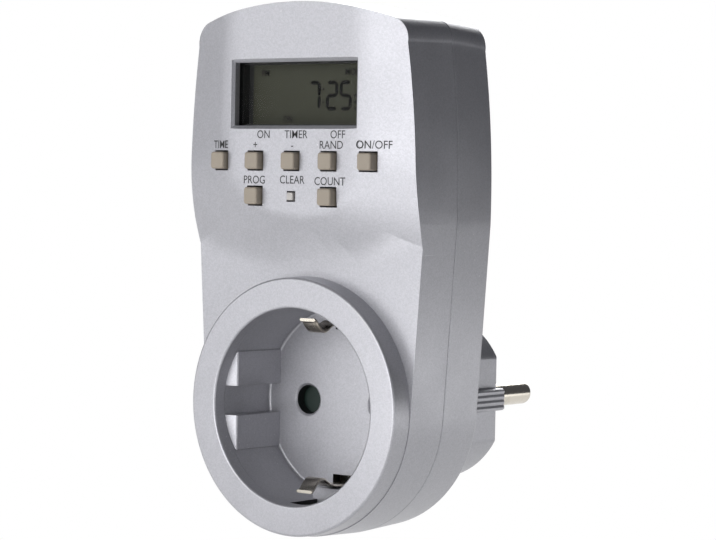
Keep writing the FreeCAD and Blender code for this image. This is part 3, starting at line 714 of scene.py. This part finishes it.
def makeCup():
    r, depth, lip = recess["radius"], recess["depth"], recess["lip"] + cupSizes["lipGap"]
    outer, flange = r + cupSizes["wall"], cupSizes["flange"]
    back = depth + cupSizes["floor"]
    flangeFront = back - cupSizes["flangeThick"]
    fillet = cupSizes["floorRound"]
    profile = [(0, back), (flange, back), (flange, flangeFront), (outer, flangeFront), (outer, lip)]
    profile += [(r, lip), (r, depth - fillet)] + cornerRound(r, depth, fillet, 5) + [(0, depth)]
    cup = revolve("socket_cup_skin", profile, count=192)
    for side in (-1, 1):
        for up in (-1, 1):
            combine(cup, makeRib(side, up), "UNION")
    for up in (-1, 1):
        fitClip(cup, up)
    hole, sink = contactHole["radius"], contactHole["sink"]
    for side in (-1, 1):
        profile = [(0, depth - 1), (sink + 0.3, depth - 1), (sink + 0.1, depth + 0.02),
                   (sink - 0.05, depth + 0.12), (hole + 0.1, depth + 0.4), (hole, depth + 0.6),
                   (hole, back + 1), (0, back + 1)]
        cut(cup, revolve("hole", profile, side * contactHole["pin"], 0, 64))
    settle(cup, "housing", silver, ["socket_cup"])
    paintRecessShade(cup)
    return cup


cup = makeCup()
print("stage: socket cup,", len(cup.data.polygons), "faces")


# Rear shell and the plug's boss

plug = {"radius": 17.8, "flat": 15.4, "ridge": 17.6, "ridgeHalf": 2.3, "flute": 0.22, "flutes": 4,
        "cornerDrop": 0.35, "channelHalf": 3.3, "channelDeep": 2.2, "pin": 2.4, "reach": 19.0, "nose": 1.1}
screws = {"places": ((21.0, 71.6), (-21.0, 71.6), (22.9, 26.5), (-22.9, 26.5)), "recess": 2.85, "deep": 4}
shellLip = {"outer": 0.1, "inner": 0.9, "reach": 1.85, "edge": 0.3, "back": 2.4}


def bossOutline(inset):
    flat = plug["flat"] - inset
    return [(max(-flat, min(flat, x)), z) for x, z in circle(0, 0, plug["radius"] - inset, 180)]


# A fluted ridge along one side of the boss
def makeRidge(side, rear):
    half, reach = plug["ridgeHalf"], plug["ridge"]
    steps = 36
    tip = []
    for i in range(steps + 1):
        z = -half + 2 * half * i / steps
        flute = plug["flute"] * abs(math.sin(math.pi * plug["flutes"] * i / steps))
        corner = plug["cornerDrop"] * max(0, (abs(z) - half + 0.5) / 0.5) ** 2
        tip.append((side * (reach - plug["flute"] + flute - corner), z))
    loop = [(side * 14.0, half), (side * 14.0, -half)] + tip
    if side < 0:
        loop = loop[::-1]
    end = [(x * 0.985, z * 0.93) for x, z in loop]
    return loft("ridge", [(rear + 0.5, loop), (plugFace - 0.3, loop), (plugFace, end)])


def makeRearShell():
    start = housing["seam"] + housing["gap"]
    rear, draft, wall = housing["rear"], housing["rearDraft"], housing["wall"]
    rings = [(start + depth, housingOutline(inset)) for inset, depth in rounding(shellLip["edge"], 3)]
    rings += [(rear - depth, housingOutline(draft + inset - 0.02))
              for inset, depth in reversed(rounding(housing["rearRound"], 6))]
    shell = loft("rear_shell_skin", rings)
    inner, outer = housingOutline(wall + shellLip["inner"]), housingOutline(wall + shellLip["outer"])
    cut(shell, loft("hollow", [(start - 1, inner), (rear - shellLip["back"], inner)]))
    lip = loft("lip", [(start - shellLip["reach"], outer), (start + 1, outer)])
    cut(lip, loft("core", [(start - 3, inner), (start + 2, inner)]))
    combine(shell, lip, "UNION")
    print("stage: rear shell, hollow and lip")

    r = plug["radius"]
    rings = [(rear - 1, bossOutline(0))]
    rings += [(plugFace - depth, bossOutline(inset)) for inset, depth in reversed(rounding(0.5))]
    combine(shell, loft("boss", rings), "UNION")
    for side in (-1, 1):
        combine(shell, makeRidge(side, rear), "UNION")
    half = plug["channelHalf"]
    for up in (-1, 1):
        low, high = sorted((up * (r - plug["channelDeep"]), up * (r + 1)))
        cut(shell, block("channel", -half, half, rear + 3, plugFace + 1, low, high))
    for x, z in screws["places"]:
        rim = circle(x, z, screws["recess"], 48)
        cut(shell, loft("sink", [(rear - screws["deep"], rim), (rear + 1, rim)]))
    settle(shell, "housing", silver, ["rear_shell"])
    shell.data.materials.append(black)
    for face in shell.data.polygons:  # black on the lip and on the shell's front face inside the seam gap is painted shade in the gap
        depth = face.center.y / mm + plugFace
        if depth < start - 0.02 or abs(face.normal.y) > 0.99 and depth < start + 0.01:
            face.material_index = 1
    return shell


rearShell = makeRearShell()
print("stage: rear shell,", len(rearShell.data.polygons), "faces")


# Keys: their sizes and places stand with the front shell, which they pass through

def roundedSquare(x, z, half, radius):
    points = []
    for quarter in range(4):
        cx = x + (half - radius) * (1 if quarter in (0, 3) else -1)
        cz = z + (half - radius) * (1 if quarter in (0, 1) else -1)
        for i in range(6):
            angle = math.pi / 2 * (quarter + i / 5)
            points.append((cx + radius * math.cos(angle), cz + radius * math.sin(angle)))
    return points


def makeKey(name, x, z, size, back):
    isReset = name == "reset_key"
    front = housing["panel"] - keys["resetProud" if isReset else "proud"] + back
    half, corner = size / 2, size * 0.16
    rings = []
    for inset, depth in rounding(size * 0.13, 5):
        radius = max(0.1, corner - inset * 0.5)
        rings.append((front + depth, roundedSquare(x, z, half - inset * 0.9 - 0.03, radius)))
    rings.append((front + 6.2, roundedSquare(x, z, half + 0.03, corner)))  # the stem's hidden end
    cap = loft(name + "_cap", rings)
    return settle(cap, name + "_body", resetStock if isReset else keyStock, [name], 50)


for keyName, spot in keyPlaces().items():
    makeKey(keyName, *spot)
print("stage: keys")


# Metal strips and pins: each path is depth and height above the axis

earthClip = {"half": 2.0, "thick": 0.62,
             "path": [(5.0, 17.0), (5.5, 16.9), (6.3, 16.0), (7.4, 15.0), (8.5, 14.65), (9.6, 14.9),
                      (10.8, 15.6), (12.4, 16.2), (14.0, 16.4), (17.6, 16.4), (25.9, 16.4)]}
plugEarth = {"half": 3.0, "thick": 0.6,
             "path": [(31.8, 15.9), (35.0, 16.4), (40.0, 17.1), (46.5, 17.1), (49.5, 16.2)]}


# A smooth path through given points, as a Catmull-Rom spline
def stripPath(points, steps=8):
    smooth = []
    for i in range(len(points) - 1):
        p0, p1 = points[max(i - 1, 0)], points[i]
        p2, p3 = points[i + 1], points[min(i + 2, len(points) - 1)]
        for k in range(steps):
            t = k / steps
            smooth.append(tuple(0.5 * (2 * b + (c - a) * t + (2 * a - 5 * b + 4 * c - d) * t * t
                                       + (3 * b - a - 3 * c + d) * t ** 3)
                                for a, b, c, d in zip(p0, p1, p2, p3)))
    return smooth + [points[-1]]


def makeStrip(name, strip, up, node):
    path = stripPath(strip["path"])
    half, thick = strip["half"], strip["thick"]
    edge = thick * 0.45
    ring = [(-half + edge, 0), (half - edge, 0), (half, edge), (half, thick - edge),
            (half - edge, thick), (-half + edge, thick), (-half, thick - edge), (-half, edge)]
    verts, faces = [], []
    for i, (y, z) in enumerate(path):
        y0, z0 = path[max(i - 1, 0)]
        y1, z1 = path[min(i + 1, len(path) - 1)]
        run = math.hypot(y1 - y0, z1 - z0)
        ny, nz = -(z1 - z0) / run, (y1 - y0) / run
        verts += [(x, y + ny * t, up * (z + nz * t)) for x, t in ring]
    n = len(ring)
    for k in range(len(path) - 1):
        a, b = k * n, (k + 1) * n
        faces += [(a + i, a + (i + 1) % n, b + (i + 1) % n, b + i) for i in range(n)]
    faces += [tuple(range(n)), tuple(range((len(path) - 1) * n, len(path) * n))]
    return settle(makeObject(name, verts, faces), "housing", nickel, [node], 60)


def makePin(side, word):
    r, tip, nose = plug["pin"], plugFace + plug["reach"], plug["nose"]
    root = plugFace - 5  # hidden in the boss
    profile = [(0, root), (r, root), (r, tip - nose)] + cornerRound(r, tip, nose, 6) + [(0, tip)]
    pin = revolve("plug_pin_" + word + "_turned", profile, side * contactHole["pin"], 0, 64)
    return settle(pin, "housing", nickel, ["plug_pin_" + word], 40)


for up, word in ((1, "upper"), (-1, "lower")):
    makeStrip("earth_clip_" + word + "_strip", earthClip, up, "earth_clip_" + word)
    makeStrip("plug_earth_" + word + "_strip", plugEarth, up, "plug_earth_" + word)
makePin(-1, "left")
makePin(1, "right")
print("stage: strips and pins")


# Lettering: plain function words, chosen for this part, and plain figures on the display

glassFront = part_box("lcd_glass")[0][1] / mm + plugFace
standOff = {"words": 0.02, "figures": 0.03, "border": 0.02}  # in front of what carries them
capShare = 0.70  # a capital's height as a share of the font's size
legendCap = 1.6
legends = [("clock", "TIME", -18.9, 52.35), ("plus", "+", -9.4, 52.3), ("minus", "-", 0.1, 52.3),
           ("random", "RAND", 9.9, 52.35), ("on_off", "ON/OFF", 19.9, 52.45), ("on", "ON", -7.3, 54.4),
           ("timer", "TIMER", 1.0, 54.4), ("off", "OFF", 11.5, 54.4), ("set", "PROG", -9.5, 45.3),
           ("reset", "CLEAR", 0.2, 45.4), ("countdown", "COUNT", 9.7, 45.2)]
displayWords = [("half", "PM", -11.0, 66.9, 1.3), ("day", "MON", 11.3, 66.9, 1.3),
                ("state", "ON", -5.0, 57.6, 1.2)]


# Depth of the panel's front at a point above the facet's lower end
def panelDepth(x):
    side = max(0, abs(x) - facet["half"])
    slope = (facet["fallDepth"] - housing["panel"]) / (facet["fallHalf"] - facet["half"])
    return housing["panel"] + side * slope


# Flat lettering centred on a point, laid on the panel or at one depth
def makeText(name, words, x, z, cap, material, depth=None, stretch=1.0, boldness=0.0):
    curve = bpy.data.curves.new(name, "FONT")
    curve.body = words
    curve.align_x = "CENTER"
    curve.size = cap / capShare
    curve.offset = boldness
    curve.resolution_u = 4
    holder = bpy.data.objects.new(name, curve)
    bpy.context.scene.collection.objects.link(holder)
    graph = bpy.context.evaluated_depsgraph_get()
    mesh = bpy.data.meshes.new_from_object(holder.evaluated_get(graph))
    bpy.data.objects.remove(holder)
    for v in mesh.vertices:
        px, pz = x + v.co.x * stretch, z - cap / 2 + v.co.y
        v.co = (px, (panelDepth(px) if depth is None else depth) - standOff["words"], pz)
    piece = bpy.data.objects.new(name, mesh)
    bpy.context.scene.collection.objects.link(piece)
    return settle(piece, "housing", material)


for word, text, x, z in legends:
    makeText("legend_" + word, text, x, z, legendCap, ink, stretch=0.94, boldness=0.008)
figureDepth = glassFront - standOff["figures"]
for word, text, x, z, cap in displayWords:
    makeText("display_" + word, text, x, z, cap, segmentInk, figureDepth, 0.9, 0.03)
print("stage: lettering")


# Width, height and stroke of a figure, and where each one stands
digits = {"foot": 59.6, "large": (2.3, 5.2, 0.8), "small": (1.1, 2.6, 0.5),
          "row": [("7", 0.6, "large"), ("2", 5.0, "large"), ("5", 8.4, "large"), ("3", 11.6, "small"),
                  ("0", 13.4, "small")],
          "colon": 3.95, "dots": (60.9, 63.5), "dotHalf": 0.3, "dotStroke": 0.5}


# Seven-segment figures: a stroke with pointed ends for each lit segment
def makeDigits():
    lit = {"7": "abc", "2": "abdeg", "5": "acdfg", "3": "abcdg", "0": "abcdef"}
    ends = {"a": ((0, 2), (1, 2)), "b": ((1, 2), (1, 1)), "c": ((1, 1), (1, 0)), "d": ((0, 0), (1, 0)),
            "e": ((0, 1), (0, 0)), "f": ((0, 2), (0, 1)), "g": ((0, 1), (1, 1))}
    verts, faces = [], []

    def stroke(x0, z0, x1, z1, thick):
        n = len(verts)
        dx, dz = x1 - x0, z1 - z0
        run = math.hypot(dx, dz)
        ux, uz = dx / run * thick / 2, dz / run * thick / 2
        outline = [(x0, z0), (x0 + ux - uz, z0 + uz + ux), (x1 - ux - uz, z1 - uz + ux),
                   (x1, z1), (x1 - ux + uz, z1 - uz - ux), (x0 + ux + uz, z0 + uz - ux)]
        verts.extend((x, figureDepth, z) for x, z in outline)
        faces.append(tuple(range(n, n + 6)))

    foot = digits["foot"]
    for figure, x, size in digits["row"]:
        wide, high, thick = digits[size]
        for bar in lit[figure]:
            (ax, az), (bx, bz) = ends[bar]
            stroke(x + ax * wide, foot + az * high / 2, x + bx * wide, foot + bz * high / 2, thick)
    x, half = digits["colon"], digits["dotHalf"]
    for z in digits["dots"]:
        stroke(x, z - half, x, z + half, digits["dotStroke"])
    return settle(makeObject("display_digits", verts, faces), "housing", segmentInk)


# The wider left band is painted shade from the window's left wall
border = {"half": 15.4, "low": 56.2, "high": 68.8, "left": 1.3, "right": 0.35, "edge": 0.3}


# The glass's dark sealed edge all round, and on the left a wider dark band that is painted shade from the
# window's left wall
def makeBorder():
    half, low, high, edge = border["half"], border["low"], border["high"], border["edge"]
    inner = rectangle(-half + border["left"], half - border["right"], low + edge, high - edge)
    outer = rectangle(-half, half, low, high)
    verts = [(x, glassFront - standOff["border"], z) for x, z in outer + inner]
    faces = [(i, (i + 1) % 4, 4 + (i + 1) % 4, 4 + i) for i in range(4)]
    return settle(makeObject("display_border", verts, faces), "housing", black)


makeDigits()
makeBorder()
print("stage: display")


# Camera: degrees round, above and about the view, focal length in pixels, and the photograph's width

photoView = {"azimuth": 37.338, "elevation": 1.795, "roll": 1.077, "focal": 2552.44, "width": 716,
             "offset": (-13.541, -27.387, 509.19)}


def makeCamera():
    turn, lift = math.radians(photoView["azimuth"]), math.radians(photoView["elevation"])
    roll = math.radians(photoView["roll"])
    back = Vector((math.sin(turn) * math.cos(lift), -math.cos(turn) * math.cos(lift), math.sin(lift)))
    level = Vector((math.cos(turn), math.sin(turn), 0))
    upright = back.cross(level)
    right = math.cos(roll) * level + math.sin(roll) * upright
    up = -math.sin(roll) * level + math.cos(roll) * upright
    camera = bpy.data.cameras.new("camera")
    camera.sensor_width = 36
    camera.lens = photoView["focal"] * camera.sensor_width / photoView["width"]
    camera.clip_start = 0.01
    holder = bpy.data.objects.new("camera", camera)
    bpy.context.scene.collection.objects.link(holder)
    across, down, away = photoView["offset"]
    spot = -(right * across + up * down) + back * away
    spot = (spot - Vector((0, plugFace, 0))) * mm
    holder.matrix_world = Matrix.Translation(spot) @ Matrix((right, up, back)).transposed().to_4x4()
    bpy.context.scene.camera = holder


# Lamps: soft boxes stand in a ring round the object, by azimuth, height in degrees and watts.
# Strips lie low beside it, by X and Y in metres and watts.
softBoxes = {"front_low": (0, -12, 4.2), "front_high": (0, 15, 2.2), "left_low": (-25, -12, 1.7),
             "left_high": (-25, 15, 1.1), "far_left_low": (-50, -12, 1.0), "far_left_high": (-50, 15, 0.8),
             "top_left": (-115, 50, 1.0), "back": (205, 20, 3.0)}
lowStrips = {"strip_right": (0.12, 0.04, 0.012), "strip_near_right": (0.14, -0.10, 0.02),
             "strip_front": (0.0, -0.2, 0.045)}
lampRing = {"distance": 0.9, "size": (0.4, 0.4), "middle": (0, -0.03, 0.03)}
stripRow = {"height": -0.012, "size": (0.16, 0.022), "aim": (0.03, -0.035)}


def addLamp(name, spot, target, size, power):
    lamp = bpy.data.lights.new(name, "AREA")
    lamp.shape = "RECTANGLE"
    lamp.size, lamp.size_y = size
    lamp.energy = power
    holder = bpy.data.objects.new(name, lamp)
    bpy.context.scene.collection.objects.link(holder)
    holder.location = spot
    holder.rotation_euler = (target - spot).to_track_quat("-Z", "Y").to_euler()
    holder.visible_camera = False


def makeLamps():
    middle = Vector(lampRing["middle"])
    for name, (azimuth, height, power) in softBoxes.items():
        a, h = math.radians(azimuth), math.radians(height)
        away = Vector((math.sin(a) * math.cos(h), -math.cos(a) * math.cos(h), math.sin(h)))
        addLamp(name, middle + away * lampRing["distance"], middle, lampRing["size"], power)
    low = stripRow["height"]
    aim = Vector((*stripRow["aim"], low))
    for name, (x, y, power) in lowStrips.items():
        addLamp(name, Vector((x, y, low)), aim, stripRow["size"], power)


# Ground and world: the object gets soft light from them, and the camera sees them white
ground = {"half": 900, "gap": 0.5, "colour": (0.85, 0.85, 0.85, 1), "roughness": 0.9}
world = {"colour": (0.9, 0.92, 1.0, 1), "strength": 0.1}
white = (1, 1, 1, 1)


def makeGround():
    half = ground["half"]
    plane = makeObject("ground", [(-half, -half, 0), (half, -half, 0), (half, half, 0), (-half, half, 0)],
                       [(0, 1, 2, 3)])
    plane.data.transform(Matrix.Scale(mm, 4))
    plane.location = (0, 0, cadBox[0][2] - ground["gap"] * mm)
    material, nodes, links, shader = newMaterial("white_ground")
    shader.inputs["Base Color"].default_value = ground["colour"]
    shader.inputs["Roughness"].default_value = ground["roughness"]
    glow = nodes.new("ShaderNodeEmission")
    glow.inputs["Color"].default_value = white
    glow.inputs["Strength"].default_value = 1.0
    seen = nodes.new("ShaderNodeLightPath")
    mix = nodes.new("ShaderNodeMixShader")
    pale = mathNode(nodes, links, "MAXIMUM", seen.outputs["Is Camera Ray"], seen.outputs["Is Glossy Ray"])
    links.new(mathNode(nodes, links, "MAXIMUM", pale, seen.outputs["Is Transmission Ray"]), mix.inputs["Fac"])
    links.new(shader.outputs["BSDF"], mix.inputs[1])
    links.new(glow.outputs["Emission"], mix.inputs[2])
    links.new(mix.outputs["Shader"], nodes["Material Output"].inputs["Surface"])
    plane.data.materials.append(material)


def makeWorld():
    studio = bpy.data.worlds.new("studio")
    studio.use_nodes = True
    nodes, links = studio.node_tree.nodes, studio.node_tree.links
    soft = nodes["Background"]
    soft.inputs["Color"].default_value = world["colour"]
    soft.inputs["Strength"].default_value = world["strength"]
    backdrop = nodes.new("ShaderNodeBackground")
    backdrop.inputs["Color"].default_value = white
    seen = nodes.new("ShaderNodeLightPath")
    mix = nodes.new("ShaderNodeMixShader")
    links.new(seen.outputs["Is Camera Ray"], mix.inputs["Fac"])
    links.new(soft.outputs["Background"], mix.inputs[1])
    links.new(backdrop.outputs["Background"], mix.inputs[2])
    links.new(mix.outputs["Shader"], nodes["World Output"].inputs["Surface"])
    bpy.context.scene.world = studio


makeCamera()
makeWorld()
makeGround()
makeLamps()
bpy.context.scene.view_settings.view_transform = "Standard"
print("stage: camera, light and ground")
